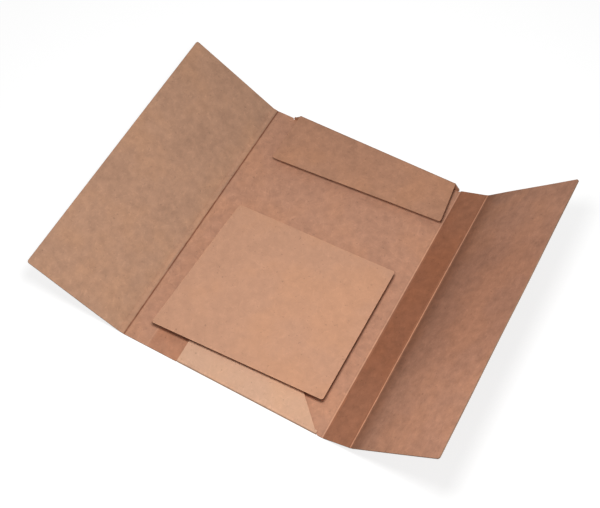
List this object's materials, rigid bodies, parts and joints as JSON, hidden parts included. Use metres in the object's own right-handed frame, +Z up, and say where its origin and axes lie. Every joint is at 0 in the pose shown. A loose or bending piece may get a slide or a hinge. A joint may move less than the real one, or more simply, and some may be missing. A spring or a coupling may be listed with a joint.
{
  "type": "wraparound mailer",
  "caption": "Open kraft board mailer: a flat base with two long wrap panels, a narrow spine panel and two holding flaps folded over the space for flat goods.",
  "frame": {"origin": "middle of the underside of the base panel, on the surface that the mailer lies on", "axes": "+X along the row of wrap panels from the left panel to the spine, +Y from the front edge to the back edge, +Z up"},
  "size_m": [0.3484, 0.25, 0.084],
  "materials": {
    "kraft_inner_face": "matt unbleached kraft",
    "kraft_wrap": "matt unbleached kraft",
    "kraft_flap": "matt unbleached kraft",
    "kraft_neck": "matt unbleached kraft, paler"
  },
  "bodies": {
    "base": {"base_panel": "kraft_inner_face"},
    "left_wrap": {"left_wrap_panel": "kraft_wrap"},
    "spine": {"spine_panel": "kraft_inner_face"},
    "right_wrap": {"right_wrap_panel": "kraft_wrap"},
    "back_flap": {"back_flap": "kraft_flap"},
    "front_flap": {"front_flap_neck": "kraft_neck", "front_flap_panel": "kraft_flap"}
  },
  "joints": [
    {"name": "left_wrap_fold", "type": "hinge", "parent": "base", "child": "left_wrap", "pos_m": [-0.09, 0, 0.0013], "axis": [0, 1, 0], "range_deg": [-16, 115]},
    {"name": "spine_fold", "type": "hinge", "parent": "base", "child": "spine", "pos_m": [0.09, 0, 0.0013], "axis": [0, -1, 0], "range_deg": [-24.5, 65.5]},
    {"name": "right_wrap_fold", "type": "hinge", "parent": "spine", "child": "right_wrap", "pos_m": [0.11366, 0, 0.01208], "axis": [0, -1, 0], "range_deg": [-24, 66]},
    {"name": "back_flap_fold", "type": "hinge", "parent": "base", "child": "back_flap", "pos_m": [0, 0.1237, 0.0013], "axis": [-1, 0, 0], "range_deg": [-6, 90]},
    {"name": "front_flap_fold", "type": "hinge", "parent": "base", "child": "front_flap", "pos_m": [0, -0.1244, 0.00145], "axis": [1, 0, 0], "range_deg": [-2, 150]}
  ]
}
